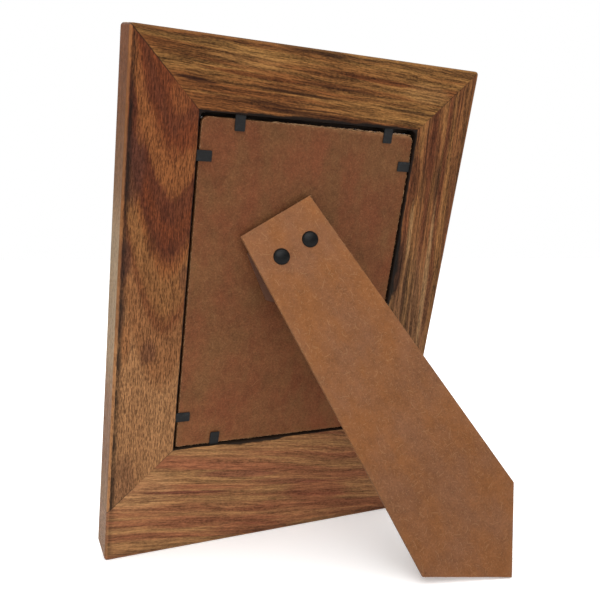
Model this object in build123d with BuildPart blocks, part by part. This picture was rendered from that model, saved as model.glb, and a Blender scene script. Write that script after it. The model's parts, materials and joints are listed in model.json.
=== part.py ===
from build123d import *
import os
from math import acos, atan2, cos, degrees, hypot, radians, sin, tan

# Easel back photo frame, standing on its bottom edge and the foot of its strut.
# Millimetres. +Z is up, the picture faces -Y and the strut stands out towards +Y.

# Wooden frame, measured on its back
frame_width = 165.1
frame_height = 241.4
frame_thickness = 17.0
rail_width = 29.7
bottom_rail_width = 56.4
sight_lip = 5.0
sight_bevel = 2.5
edge_radius = 1.2
corner_radius = 1.6
rebate_ease = 0.4
rebate_top_corner = 3.0

# Layers in the rebate
recess_depth = 1.3
backboard_thickness = 3.0
print_thickness = 0.3
glass_thickness = 2.0
bottom_gap = 0.4
print_side_gap = 2.0
print_top_gap = 2.5
glass_side_gap = 1.0
glass_top_gap = 2.0
backboard_left_gap = 1.3
backboard_right_gap = 0.4
backboard_top_gap = 1.7
backboard_top_fall = 0.6
backboard_bottom_corner = 1.0

# Dowels across the mitres
dowel_radius = 3.0
dowel_length = 24.0
dowel_chamfer = 0.6
dowel_clearance = 0.05
dowel_place_shares = (0.46, 0.76)

# Flexible tabs, bent flat over the backboard
tab_width = 4.6
tab_reach = 6.8
tab_thickness = 0.5
tab_tip_radius = 0.4
tab_depth = 8.0
tab_point = 3.0
tab_stub = 0.1
tab_clearance = 0.05
tab_lift = 0.05
tab_place_shares = {
    "tab_top_left": (-0.66, 1.0),
    "tab_top_right": (0.72, 1.0),
    "tab_bottom_left": (-0.62, -1.0),
    "tab_bottom_right": (0.78, -1.0),
    "tab_left_upper": (-1.0, 0.77),
    "tab_left_lower": (-1.0, -0.79),
    "tab_right_upper": (1.0, 0.78),
    "tab_right_lower": (1.0, -0.80),
}

# Strut, seen from behind with its top edge uppermost
strut_opening = 29.3
strut_thickness = 3.0
strut_top_width = 36.8
strut_taper = 3.84
strut_left_length = 169.2
strut_edge_radius = 0.4
foot_angle = 35.7
foot_length = 42.3

# Hinge between the backboard and the strut
hinge_slant = 31.8
hinge_across = -10.8
hinge_above = 29.3
strut_clearance = 2.2
stop_gap = 0.1
leaf_thickness = 0.8
leaf_inset = 0.2
leaf_corner = 3.0
fixed_leaf_length = 30.0
moving_leaf_length = 17.0
moving_leaf_width = 32.0
knuckle_gap = 0.15
knuckle_clearance = 0.2
outer_knuckle_length = 7.4
middle_knuckle_length = 14.8
pin_clearance = 0.05
pin_head_radius = 1.3
pin_head_thickness = 0.4

# Rivets
rivet_radius = 1.5
rivet_clearance = 0.05
strut_rivet_spacing = 15.2
strut_rivet_drop = 16.9
strut_rivet_head_radius = 3.7
strut_rivet_head_height = 1.5
rivet_tail_radius = 2.4
rivet_tail_height = 0.6
board_rivet_spacing = 22.0
board_rivet_drop = 23.5
board_rivet_head_radius = 3.2
board_rivet_head_height = 0.7

# Extra depth that takes a cut clear of a face
cut_overrun = 1.0

# Rebate and window
rebate_depth = recess_depth + backboard_thickness + print_thickness + glass_thickness
rebate_width = frame_width - 2 * rail_width
rebate_height = frame_height - rail_width - bottom_rail_width
rebate_middle = (bottom_rail_width - rail_width) / 2
sight_width = rebate_width - 2 * sight_lip
sight_height = rebate_height - 2 * sight_lip


def rebate_outline():
    with BuildSketch() as outline:
        Rectangle(rebate_width, rebate_height)
        fillet(outline.vertices().group_by(Axis.Y)[-1], rebate_top_corner)
    return outline.sketch


# Glass, print and backboard all rest on the bottom of the rebate
def sheet_outline(side_gap, top_gap):
    with BuildSketch() as outline:
        with Locations((0, bottom_gap - rebate_height / 2)):
            Rectangle(
                rebate_width - 2 * side_gap,
                rebate_height - top_gap - bottom_gap,
                align=(Align.CENTER, Align.MIN),
            )
    return outline.sketch


# The top edge of the backboard is cut out of square
def backboard_outline():
    left = backboard_left_gap - rebate_width / 2
    right = rebate_width / 2 - backboard_right_gap
    top = rebate_height / 2 - backboard_top_gap
    bottom = bottom_gap - rebate_height / 2
    with BuildSketch() as outline:
        with BuildLine():
            Polyline(
                (left, top),
                (left, bottom),
                (right, bottom),
                (right, top - backboard_top_fall),
                close=True,
            )
        make_face()
        corners = outline.vertices().sort_by(Axis.Y)
        fillet(corners[-2:], rebate_top_corner)
        fillet(corners[:2], backboard_bottom_corner)
    return outline.sketch


# The hinge fills the height between the backboard and the closed strut
hinge_half_height = (recess_depth + strut_clearance) / 2
knuckle_radius = hinge_half_height - knuckle_gap
pin_radius = knuckle_radius - leaf_thickness - pin_clearance
knuckle_room = knuckle_radius + knuckle_clearance
barrel_length = middle_knuckle_length + 2 * (knuckle_clearance + outer_knuckle_length)

# The top edge of the strut reaches past the hinge until it stops against the backboard
opening = radians(strut_opening)
strut_overhang = (hinge_half_height * (1 + cos(opening)) - stop_gap) / sin(opening)

# Outline of the strut about the hinge axis: x along the axis, y towards the top edge
flare = tan(radians(strut_taper))
foot_turn = radians(foot_angle)
strut_half_top = strut_top_width / 2
foot_left = (-strut_half_top - strut_left_length * flare, strut_overhang - strut_left_length)
foot_tip = (foot_left[0] + foot_length * cos(foot_turn), foot_left[1] - foot_length * sin(foot_turn))
right_edge_at_tip = strut_half_top + (strut_overhang - foot_tip[1]) * flare
foot_rise = (right_edge_at_tip - foot_tip[0]) / (sin(foot_turn) + cos(foot_turn) * flare)
foot_right = (foot_tip[0] + foot_rise * sin(foot_turn), foot_tip[1] + foot_rise * cos(foot_turn))

# Places on the back of the frame: x to the right and y up as seen from behind, z out of the back
hinge_seat = Pos(hinge_across, rebate_middle + hinge_above, hinge_half_height - recess_depth)
hinge_seat = hinge_seat * Rot(0, 0, hinge_slant)
strut_seat = hinge_seat * Rot(-strut_opening, 0, 0)
foot_inner = (strut_seat * Pos(*foot_tip, hinge_half_height)).position
foot_outer = (strut_seat * Pos(*foot_tip, hinge_half_height + strut_thickness)).position

# The frame leans until its eased bottom edge and the tip of the foot stand on one level
foot_up = frame_height / 2 - edge_radius + foot_inner.Y
foot_out = edge_radius + foot_inner.Z
lean = acos(-edge_radius / hypot(foot_up, foot_out)) - atan2(foot_out, foot_up)
back_height = (frame_height / 2 - edge_radius) * cos(lean) + edge_radius * (1 - sin(lean))
front_reach = (frame_height / 2 - edge_radius) * sin(lean) + (frame_thickness - edge_radius) * cos(lean)
foot_reach = foot_outer.Y * sin(lean) + foot_outer.Z * cos(lean)
back_middle = (front_reach + edge_radius - foot_reach) / 2

# The foot may stand out past the side of the frame, so the middle between the outermost sides is found
foot_side = (strut_seat * Pos(*foot_right, hinge_half_height)).position.X
back_across = (max(foot_side, frame_width / 2) - frame_width / 2) / 2

# Working planes
back_origin = (back_across, back_middle, back_height)
back = Plane(origin=back_origin, x_dir=(-1, 0, 0), z_dir=(0, cos(lean), -sin(lean)))
well = Plane(back.location * Pos(0, rebate_middle, 0))
hinge_closed = Plane(back.location * hinge_seat)
hinge_open = Plane(back.location * strut_seat)
outward = Axis(back.origin, back.z_dir)

os.makedirs("parts", exist_ok=True)


def write_piece(piece, name):
    piece.label = name
    export_step(piece, f"parts/{name}.step")


# Dowels, two square across each mitre at half the frame's thickness
shoulder_height = bottom_rail_width - rail_width - frame_height / 2
mitre_heights = ((frame_height / 2, -1), (shoulder_height, 1))
mitre_ends = [(side, end, fall) for side in (-1, 1) for end, fall in mitre_heights]


def dowel_planes():
    for side, end, fall in mitre_ends:
        for share in dowel_place_shares:
            across = side * (frame_width / 2 - share * rail_width)
            place = Pos(across, end + fall * share * rail_width, -frame_thickness / 2)
            turn = degrees(atan2(side, fall))
            yield Plane(back.location * place * Rot(0, 0, turn) * Rot(0, 90, 0))


with BuildPart() as corner_dowels:
    for plane in dowel_planes():
        with BuildSketch(plane):
            Circle(dowel_radius)
        extrude(amount=dowel_length / 2, both=True)
    chamfer(corner_dowels.edges().filter_by(GeomType.CIRCLE), dowel_chamfer)

with BuildPart() as dowel_bores:
    for plane in dowel_planes():
        with BuildSketch(plane):
            Circle(dowel_radius + dowel_clearance)
        extrude(amount=dowel_length / 2 + dowel_clearance, both=True)

write_piece(corner_dowels.part, "corner_dowels")


# Tabs: x runs in from the rebate wall, z out of the back, from the face of the backboard
tab_root = tab_stub + tab_clearance + tab_thickness / 2


def tab_seat(across_share, up_share):
    if abs(across_share) == 1:
        turn = 90 + 90 * across_share
    else:
        turn = -90 * up_share
    across = across_share * rebate_width / 2
    up = up_share * rebate_height / 2
    return Plane(well.location * Pos(across, up, tab_lift - recess_depth) * Rot(0, 0, turn))


def tab_blade(seat):
    with BuildPart() as blade:
        with BuildSketch(Plane(seat.location * Rot(90, 0, 0))):
            with Locations((tab_root, tab_thickness / 2)):
                Circle(tab_thickness / 2)
                Rectangle(tab_reach - tab_root, tab_thickness, align=(Align.MIN, Align.CENTER))
        extrude(amount=tab_width / 2, both=True)
        upright = blade.edges().filter_by(Axis(seat.origin, seat.z_dir))
        fillet(upright.sort_by(Axis(seat.origin, seat.x_dir))[-2:], tab_tip_radius)
    return blade.part


def tab_spike(seat, room):
    half = tab_width / 2 + room
    with BuildPart() as spike:
        with BuildSketch(seat.offset(-room)):
            with BuildLine():
                Polyline(
                    (tab_stub, half),
                    (tab_point - tab_depth, half),
                    (-tab_depth - room, 0),
                    (tab_point - tab_depth, -half),
                    (tab_stub, -half),
                    close=True,
                )
            make_face()
        extrude(amount=tab_thickness + 2 * room)
    return spike.part


tab_seats = {name: tab_seat(*shares) for name, shares in tab_place_shares.items()}

with BuildPart() as tab_points:
    for seat in tab_seats.values():
        add(tab_spike(seat, 0))

with BuildPart() as tab_slots:
    for seat in tab_seats.values():
        add(tab_spike(seat, tab_clearance))

write_piece(tab_points.part, "tab_points")
for tab_name, seat in tab_seats.items():
    write_piece(tab_blade(seat), tab_name)


# Rails, cut from one blank so that the eased edges run on round the corners
with BuildPart() as blank:
    with BuildSketch(back):
        RectangleRounded(frame_width, frame_height, corner_radius)
    extrude(amount=-frame_thickness)
    broad_faces = blank.faces().sort_by(outward)
    fillet(broad_faces[0].edges() + broad_faces[-1].edges(), edge_radius)
    with BuildSketch(well):
        add(rebate_outline())
    extrude(amount=-rebate_depth, mode=Mode.SUBTRACT)
    with BuildSketch(well.offset(-rebate_depth)):
        Rectangle(sight_width, sight_height)
    extrude(amount=rebate_depth - frame_thickness, mode=Mode.SUBTRACT)
    broad_faces = blank.faces().sort_by(outward)
    chamfer(broad_faces[0].inner_wires()[0].edges(), sight_bevel)
    fillet(broad_faces[-1].inner_wires()[0].edges(), rebate_ease)
    add(dowel_bores.part, mode=Mode.SUBTRACT)
    add(tab_slots.part, mode=Mode.SUBTRACT)

# Mitre lines, run past the outer edge and past the sight edge
past_edge = frame_width / 2 + cut_overrun
past_sight = sight_width / 2 - cut_overrun
mitre_run = past_edge - past_sight
upper_end = frame_height / 2 + cut_overrun
lower_end = shoulder_height - cut_overrun
upper_left = [(-past_edge, upper_end), (-past_sight, upper_end - mitre_run)]
upper_right = [(past_sight, upper_end - mitre_run), (past_edge, upper_end)]
lower_left = [(-past_sight, lower_end + mitre_run), (-past_edge, lower_end)]
lower_right = [(past_edge, lower_end), (past_sight, lower_end + mitre_run)]
below_frame = [(-past_edge, -upper_end), (past_edge, -upper_end)]
rail_outlines = {
    "left_rail": upper_left + lower_left,
    "right_rail": upper_right + lower_right,
    "top_rail": upper_left + upper_right,
    "bottom_rail": lower_left + below_frame + lower_right,
}


def rail(outline):
    with BuildPart() as piece:
        add(blank.part)
        with BuildSketch(back.offset(cut_overrun)):
            with BuildLine():
                Polyline(*outline, close=True)
            make_face()
        extrude(amount=-frame_thickness - 2 * cut_overrun, mode=Mode.INTERSECT)
    return piece.part


for rail_name, outline in rail_outlines.items():
    write_piece(rail(outline), rail_name)


# Glass, print and backboard, each laid on the one before
glass_level = -rebate_depth
print_level = glass_level + glass_thickness
backboard_level = print_level + print_thickness
board_rivet_places = [(side * board_rivet_spacing / 2, -board_rivet_drop) for side in (-1, 1)]

with BuildPart() as glass_pane:
    with BuildSketch(well.offset(glass_level)):
        add(sheet_outline(glass_side_gap, glass_top_gap))
    extrude(amount=glass_thickness)

with BuildPart() as photo_print:
    with BuildSketch(well.offset(print_level)):
        add(sheet_outline(print_side_gap, print_top_gap))
    extrude(amount=print_thickness)

with BuildPart() as backboard:
    with BuildSketch(well.offset(backboard_level)):
        add(backboard_outline())
    extrude(amount=backboard_thickness)
    with BuildSketch(hinge_closed.offset(-hinge_half_height)):
        with Locations(board_rivet_places):
            Circle(rivet_radius + rivet_clearance)
    extrude(amount=-backboard_thickness, mode=Mode.SUBTRACT)
    with BuildSketch(hinge_closed.offset(-hinge_half_height - backboard_thickness)):
        with Locations(board_rivet_places):
            Circle(board_rivet_head_radius + rivet_clearance)
    extrude(amount=board_rivet_head_height, mode=Mode.SUBTRACT)

write_piece(glass_pane.part, "glass_pane")
write_piece(photo_print.part, "photo_print")
write_piece(backboard.part, "backboard")


# Strut
strut_rivet_level = strut_overhang - strut_rivet_drop
strut_rivet_places = [(side * strut_rivet_spacing / 2, strut_rivet_level) for side in (-1, 1)]

with BuildPart() as strut:
    with BuildSketch(hinge_open.offset(hinge_half_height)):
        with BuildLine():
            Polyline(
                (-strut_half_top, strut_overhang),
                foot_left,
                foot_tip,
                foot_right,
                (strut_half_top, strut_overhang),
                close=True,
            )
        make_face()
        with Locations(strut_rivet_places):
            Circle(rivet_radius + rivet_clearance, mode=Mode.SUBTRACT)
    extrude(amount=strut_thickness)
    outer_face = strut.faces().sort_by(Axis(hinge_open.origin, hinge_open.z_dir))[-1]
    fillet(outer_face.outer_wire().edges(), strut_edge_radius)

write_piece(strut.part, "strut")


# Hinge: the outer knuckles carry the pin, and the middle one turns on it
def leaf_half_width(y):
    return strut_half_top + (strut_overhang - y) * flare - leaf_inset


outer_knuckle_middle = (middle_knuckle_length + outer_knuckle_length) / 2 + knuckle_clearance
fixed_axle = Plane(hinge_closed.location * Rot(0, 90, 0))
moving_axle = Plane(hinge_open.location * Rot(0, 90, 0))

with BuildPart() as hinge_fixed_leaf:
    with BuildSketch(hinge_closed.offset(-hinge_half_height)) as fixed_plate:
        with BuildLine():
            Polyline(
                (-leaf_half_width(-knuckle_room), -knuckle_room),
                (-leaf_half_width(-fixed_leaf_length), -fixed_leaf_length),
                (leaf_half_width(-fixed_leaf_length), -fixed_leaf_length),
                (leaf_half_width(-knuckle_room), -knuckle_room),
                close=True,
            )
        make_face()
        chamfer(fixed_plate.vertices().group_by(Axis.Y)[0], leaf_corner)
        with Locations((-outer_knuckle_middle, 0), (outer_knuckle_middle, 0)):
            Rectangle(outer_knuckle_length, knuckle_room, align=(Align.CENTER, Align.MAX))
        with Locations(board_rivet_places):
            Circle(rivet_radius + rivet_clearance, mode=Mode.SUBTRACT)
    extrude(amount=leaf_thickness)
    for side in (-1, 1):
        with BuildSketch(fixed_axle.offset(side * outer_knuckle_middle)):
            Circle(knuckle_radius)
        extrude(amount=outer_knuckle_length / 2, both=True)
    with BuildSketch(fixed_axle):
        Circle(pin_radius + pin_clearance)
    extrude(amount=barrel_length, both=True, mode=Mode.SUBTRACT)

with BuildPart() as hinge_moving_leaf:
    with BuildSketch(hinge_open.offset(hinge_half_height)) as moving_plate:
        with Locations((0, -knuckle_room)):
            Rectangle(
                moving_leaf_width,
                moving_leaf_length - knuckle_room,
                align=(Align.CENTER, Align.MAX),
            )
        chamfer(moving_plate.vertices().group_by(Axis.Y)[0], leaf_corner)
        Rectangle(middle_knuckle_length, knuckle_room, align=(Align.CENTER, Align.MAX))
        with Locations(strut_rivet_places):
            Circle(rivet_radius + rivet_clearance, mode=Mode.SUBTRACT)
    extrude(amount=-leaf_thickness)
    with BuildSketch(moving_axle):
        Circle(knuckle_radius)
    extrude(amount=middle_knuckle_length / 2, both=True)
    with BuildSketch(moving_axle):
        Circle(pin_radius + pin_clearance)
    extrude(amount=middle_knuckle_length, both=True, mode=Mode.SUBTRACT)

with BuildPart() as hinge_pin:
    with BuildSketch(fixed_axle):
        Circle(pin_radius)
    extrude(amount=barrel_length / 2, both=True)
    for side in (-1, 1):
        with BuildSketch(fixed_axle.offset(side * barrel_length / 2)):
            Circle(pin_head_radius)
        extrude(amount=side * pin_head_thickness)

write_piece(hinge_fixed_leaf.part, "hinge_fixed_leaf")
write_piece(hinge_moving_leaf.part, "hinge_moving_leaf")
write_piece(hinge_pin.part, "hinge_pin")


# Rivets, drawn as half sections and turned about their own axes
strut_grip = strut_thickness + leaf_thickness
board_grip = backboard_thickness + leaf_thickness - board_rivet_head_height

with BuildPart() as strut_rivets:
    for x, y in strut_rivet_places:
        section = Plane(hinge_open.location * Pos(x, y, hinge_half_height + strut_thickness) * Rot(90, 0, 0))
        with BuildSketch(section):
            with BuildLine():
                TangentArc((0, strut_rivet_head_height), (strut_rivet_head_radius, 0), tangent=(1, 0))
                Polyline(
                    (strut_rivet_head_radius, 0),
                    (rivet_radius, 0),
                    (rivet_radius, -strut_grip),
                    (rivet_tail_radius, -strut_grip),
                    (rivet_tail_radius, -strut_grip - rivet_tail_height),
                    (0, -strut_grip - rivet_tail_height),
                    (0, strut_rivet_head_height),
                )
            make_face()
        revolve(axis=Axis(section.origin, section.y_dir))

with BuildPart() as backboard_rivets:
    for x, y in board_rivet_places:
        section = Plane(hinge_closed.location * Pos(x, y, leaf_thickness - hinge_half_height) * Rot(90, 0, 0))
        with BuildSketch(section):
            with BuildLine():
                TangentArc((0, rivet_tail_height), (rivet_tail_radius, 0), tangent=(1, 0))
                Polyline(
                    (rivet_tail_radius, 0),
                    (rivet_radius, 0),
                    (rivet_radius, -board_grip),
                    (board_rivet_head_radius, -board_grip),
                    (board_rivet_head_radius, -board_grip - board_rivet_head_height),
                    (0, -board_grip - board_rivet_head_height),
                    (0, rivet_tail_height),
                )
            make_face()
        revolve(axis=Axis(section.origin, section.y_dir))

write_piece(strut_rivets.part, "strut_rivets")
write_piece(backboard_rivets.part, "backboard_rivets")

print(f"lean {degrees(lean):.2f} degrees, strut overhang {strut_overhang:.2f} mm")
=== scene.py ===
import json
import math

import bmesh
import bpy
import numpy as np
from mathutils import Matrix, Vector, noise
from mathutils.geometry import convex_hull_2d


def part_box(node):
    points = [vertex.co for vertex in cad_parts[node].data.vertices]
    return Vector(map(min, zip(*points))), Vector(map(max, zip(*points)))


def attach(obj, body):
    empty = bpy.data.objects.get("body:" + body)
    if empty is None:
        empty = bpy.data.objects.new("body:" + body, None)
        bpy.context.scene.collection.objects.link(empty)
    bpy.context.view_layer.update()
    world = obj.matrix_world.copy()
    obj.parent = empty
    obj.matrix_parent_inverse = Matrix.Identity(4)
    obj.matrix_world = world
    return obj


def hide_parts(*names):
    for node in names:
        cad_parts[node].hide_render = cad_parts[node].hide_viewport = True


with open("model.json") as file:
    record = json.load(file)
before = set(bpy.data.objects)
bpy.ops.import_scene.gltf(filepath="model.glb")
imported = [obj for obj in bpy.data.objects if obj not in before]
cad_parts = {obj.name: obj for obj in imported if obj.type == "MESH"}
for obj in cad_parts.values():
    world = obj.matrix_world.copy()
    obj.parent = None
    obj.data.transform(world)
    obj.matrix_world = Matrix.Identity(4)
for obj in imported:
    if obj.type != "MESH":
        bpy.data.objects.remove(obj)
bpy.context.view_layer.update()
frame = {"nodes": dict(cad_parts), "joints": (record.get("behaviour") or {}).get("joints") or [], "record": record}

mm = 0.001
nodes = frame["nodes"]


# places on the frame

def axesMatrix(along, up, out, origin):
    turned = Matrix((along, up, out)).transposed().to_4x4()
    turned.translation = origin
    return turned


def pointsOf(node, place):
    # the node's vertices in a place's own millimetres
    flat = np.empty(len(nodes[node].data.vertices) * 3)
    nodes[node].data.vertices.foreach_get("co", flat)
    inward = np.array(place.inverted())
    return (flat.reshape(-1, 3) @ inward[:3, :3].T + inward[:3, 3]) / mm


mounts = {mount["name"]: mount for mount in frame["record"]["mounts"]}
joints = {joint["name"]: joint for joint in frame["joints"]}
out = Vector(mounts["top_rail_back"]["axis"]).normalized()
up = -Vector(mounts["bottom_face"]["axis"]).normalized()
across = up.cross(out)  # to the right, seen from behind
railNames = ("left_rail", "right_rail", "top_rail", "bottom_rail")

# the back of the frame: across, up and out from the middle of its back face
turnedOnly = axesMatrix(across, up, out, Vector())
railPoints = np.vstack([pointsOf(name, turnedOnly) for name in railNames])
low, high = railPoints.min(0), railPoints.max(0)
middle = Vector(((low[0] + high[0]) / 2, (low[1] + high[1]) / 2, high[2])) * mm
back = axesMatrix(across, up, out, turnedOnly @ middle)
frameSize = high - low  # width, height, thickness in mm
wallLevels = (-3.0, -0.7)  # where a rail's inner face is its rebate wall


def wallOf(name, axis, side):
    points = pointsOf(name, back)
    wall = points[(points[:, 2] > wallLevels[0]) & (points[:, 2] < wallLevels[1])]
    return float((wall[:, axis] * side).max() * side)


rebate = {
    "left": wallOf("left_rail", 0, 1),
    "right": wallOf("right_rail", 0, -1),
    "top": wallOf("top_rail", 1, -1),
    "bottom": wallOf("bottom_rail", 1, 1),
}
rebateFloor = pointsOf("glass_pane", back)[:, 2].min()  # the front of the glass

# the strut: along its hinge, towards its top edge and out of its outer face
hinge = joints["strut_hinge"]
hingeAxis = Vector(hinge["axis"]).normalized()
strutOut = Matrix.Rotation(-math.radians(hinge["range_deg"][1]), 3, hingeAxis) @ out
strutPlace = axesMatrix(hingeAxis, strutOut.cross(hingeAxis), strutOut, Vector(hinge["pos_m"]))
print("places: rebate", {side: round(at, 2) for side, at in rebate.items()})


# helpers for node trees

def addNode(tree, kind, inputs=None, **settings):
    made = tree.nodes.new(kind)
    for key, value in settings.items():
        setattr(made, key, value)
    for key, value in (inputs or {}).items():
        if isinstance(value, bpy.types.NodeSocket):
            tree.links.new(value, made.inputs[key])
        else:
            made.inputs[key].default_value = value
    return made


def sums(tree, operation, *values, clamp=False):
    inputs = dict(enumerate(values))
    return addNode(tree, "ShaderNodeMath", inputs, operation=operation, use_clamp=clamp).outputs[0]


def times(tree, *values):
    return sums(tree, "MULTIPLY", *values)


def minus(tree, *values, clamp=False):
    return sums(tree, "SUBTRACT", *values, clamp=clamp)


def vectors(tree, operation, *values):
    return addNode(tree, "ShaderNodeVectorMath", dict(enumerate(values)), operation=operation).outputs[0]


def stretch(tree, vector, factor):
    return addNode(tree, "ShaderNodeVectorMath", {0: vector, 3: factor}, operation="SCALE").outputs[0]


def ramp(tree, value, start, end, low=0.0, high=1.0, smooth=True):
    inputs = {"Value": value, "From Min": start, "From Max": end, "To Min": low, "To Max": high}
    kind = "SMOOTHSTEP" if smooth else "LINEAR"
    return addNode(tree, "ShaderNodeMapRange", inputs, interpolation_type=kind).outputs[0]


def ladder(tree, value, stops):
    # blends from colour to colour as a value passes the stops
    low, high = stops[0][0], stops[-1][0]
    made = addNode(tree, "ShaderNodeValToRGB", {0: ramp(tree, value, low, high, smooth=False)})
    steps = made.color_ramp.elements
    for at, colour in stops[1:-1]:
        steps.new((at - low) / (high - low)).color = colour
    steps[0].color = stops[0][1]
    steps[len(steps) - 1].color = stops[-1][1]
    return made.outputs["Color"]


def mixed(tree, factor, first, second):
    inputs = {0: factor, 6: first, 7: second}
    return addNode(tree, "ShaderNodeMix", inputs, data_type="RGBA").outputs[2]


def joined(tree, x, y, z):
    return addNode(tree, "ShaderNodeCombineXYZ", {0: x, 1: y, 2: z}).outputs[0]


def split(tree, vector):
    return addNode(tree, "ShaderNodeSeparateXYZ", {0: vector}).outputs


def scaled(tree, vector, size):
    return vectors(tree, "MULTIPLY", vector, tuple(1 / part for part in size))


def cloud(tree, vector, size, detail=3.0, roughness=0.55):
    inputs = {"Vector": scaled(tree, vector, size), "Scale": 1.0, "Detail": detail, "Roughness": roughness}
    return addNode(tree, "ShaderNodeTexNoise", inputs).outputs["Fac"]


def scatter(tree, at):
    # one cell to each unit of a plane: the way from the cell's middle, and the cell's three random numbers
    cell = addNode(tree, "ShaderNodeTexVoronoi", {"Vector": at, "Scale": 1.0}, voronoi_dimensions="2D")
    away = vectors(tree, "SUBTRACT", at, cell.outputs["Position"])
    return away, split(tree, cell.outputs["Color"])


def dash(tree, along, aside, ends, thickness, core, kept):
    # a short soft line, left out where its kept value is 0
    thin = ramp(tree, sums(tree, "ABSOLUTE", aside), thickness, thickness * core)
    short = ramp(tree, sums(tree, "ABSOLUTE", along), *ends)
    return times(tree, kept, times(tree, thin, short))


def paint(red, green, blue):
    # a colour picked in 0-255 steps, as the linear values that shaders take
    def linear(step):
        share = step / 255
        return share / 12.92 if share <= 0.04045 else ((share + 0.055) / 1.055) ** 2.4
    return linear(red), linear(green), linear(blue), 1.0


def newGroup(name, inputs, outputs, kind="ShaderNodeTree"):
    # an input is given as its first value, or as the kind of its socket where it has none
    kinds = {float: "Float", int: "Int", tuple: "Color"}
    tree = bpy.data.node_groups.new(name, kind)
    for label, value in inputs.items():
        socketKind = "NodeSocket" + (kinds[type(value)] if type(value) in kinds else value)
        socket = tree.interface.new_socket(name=label, in_out="INPUT", socket_type=socketKind)
        if type(value) in kinds:
            socket.default_value = value
    for label, socketKind in outputs.items():
        tree.interface.new_socket(name=label, in_out="OUTPUT", socket_type="NodeSocket" + socketKind)
    return tree, tree.nodes.new("NodeGroupInput").outputs, tree.nodes.new("NodeGroupOutput").inputs


def useGroup(tree, group, inputs):
    return addNode(tree, "ShaderNodeGroup", inputs, node_tree=group).outputs


def placeNode(tree, place):
    # Object coordinates, read in a place's own millimetres
    inputs = {
        "Vector": addNode(tree, "ShaderNodeTexCoord").outputs["Object"],
        "Location": place.translation,
        "Rotation": place.to_euler(),
        "Scale": (mm, mm, mm),
    }
    return addNode(tree, "ShaderNodeMapping", inputs, vector_type="TEXTURE").outputs[0]


def newMaterial(name, **sockets):
    material = bpy.data.materials.new(name)
    material.use_nodes = True
    tree = material.node_tree
    shader = tree.nodes["Principled BSDF"]
    for label, value in sockets.items():
        shader.inputs[label.replace("_", " ")].default_value = value
    return material, tree, shader


def feed(tree, sockets, **values):
    for label, value in values.items():
        tree.links.new(value, sockets[label.replace("_", " ")])


def addBump(tree, shader, height, distance):
    inputs = {"Height": height, "Distance": distance * mm, "Strength": 1.0}
    feed(tree, shader.inputs, Normal=addNode(tree, "ShaderNodeBump", inputs).outputs[0])


def dress(node, material):
    nodes[node].data.materials.clear()
    nodes[node].data.materials.append(material)


def twoToned(name, size, first, second, **sockets):
    material, tree, shader = newMaterial(name, **sockets)
    tone = cloud(tree, placeNode(tree, back), (size, size, size), 3.0)
    feed(tree, shader.inputs, Base_Color=mixed(tree, tone, first, second))
    return material


def newObject(name, data):
    made = bpy.data.objects.new(name, data)
    bpy.context.scene.collection.objects.link(made)
    return made


def addPiece(name, mesh, body, slot, *replaced):
    piece = newObject(name, mesh)
    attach(piece, body)
    if replaced:
        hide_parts(*replaced)


def endTree(tree, geometry, material, made):
    # every geometry tree ends with its instances made real and its material set
    whole = addNode(tree, "GeometryNodeRealizeInstances", {0: geometry}).outputs[0]
    inputs = {"Geometry": whole, "Material": material}
    tree.links.new(addNode(tree, "GeometryNodeSetMaterial", inputs).outputs[0], made["Geometry"])


def grow(name, tree, values, place, base=None, bevel=0.0):
    # runs a geometry tree in millimetres and keeps its result as one plain mesh, put in its place
    base = newObject(name + "Base", base or bpy.data.meshes.new(name + "Base"))
    shape = base.modifiers.new("shape", "NODES")
    shape.node_group = tree
    for item in tree.interface.items_tree:
        if item.in_out == "INPUT" and item.name in values:
            shape[item.identifier] = values[item.name]
    if bevel:
        eased = base.modifiers.new("eased", "BEVEL")
        eased.width = bevel
        eased.segments = 2
        eased.limit_method = "ANGLE"
    grown = base.evaluated_get(bpy.context.evaluated_depsgraph_get())
    mesh = bpy.data.meshes.new_from_object(grown)
    mesh.name = name
    bpy.data.objects.remove(base)
    mesh.transform(place @ Matrix.Scale(mm, 4))
    return mesh


# stained wood

# marks in the grain: X runs along the board, Y across and Z out of its face, all in mm
# a mark: its size, its detail, and where its noise starts and ends
# a pore: its cell, its thickness and the share left out
grainLook = {
    "seedStep": (173.0, 91.0, 47.0), "wanderSize": (75, 15, 15),
    "marks": {
        "Bands": ((120, 5.5, 5.5), 3.0, 0.36, 0.64),
        "Streaks": ((34, 1.5, 1.5), 4.0, 0.34, 0.66),
        "Fibres": ((7, 0.7, 0.7), 2.0, 0.3, 0.7),
        "Grit": ((1.5, 0.6, 0.6), 2.0, 0.3, 0.7),
        "Lines": ((150, 1.3, 1.3), 2.0, 0.62, 0.74),
    },
    "pores": (((1.0, 1.15, 1), 0.15, 0.15), ((0.72, 0.8, 1), 0.16, 0.35)),
    "poreEnds": (0.48, 0.22), "poreCore": 0.3,
}


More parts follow.
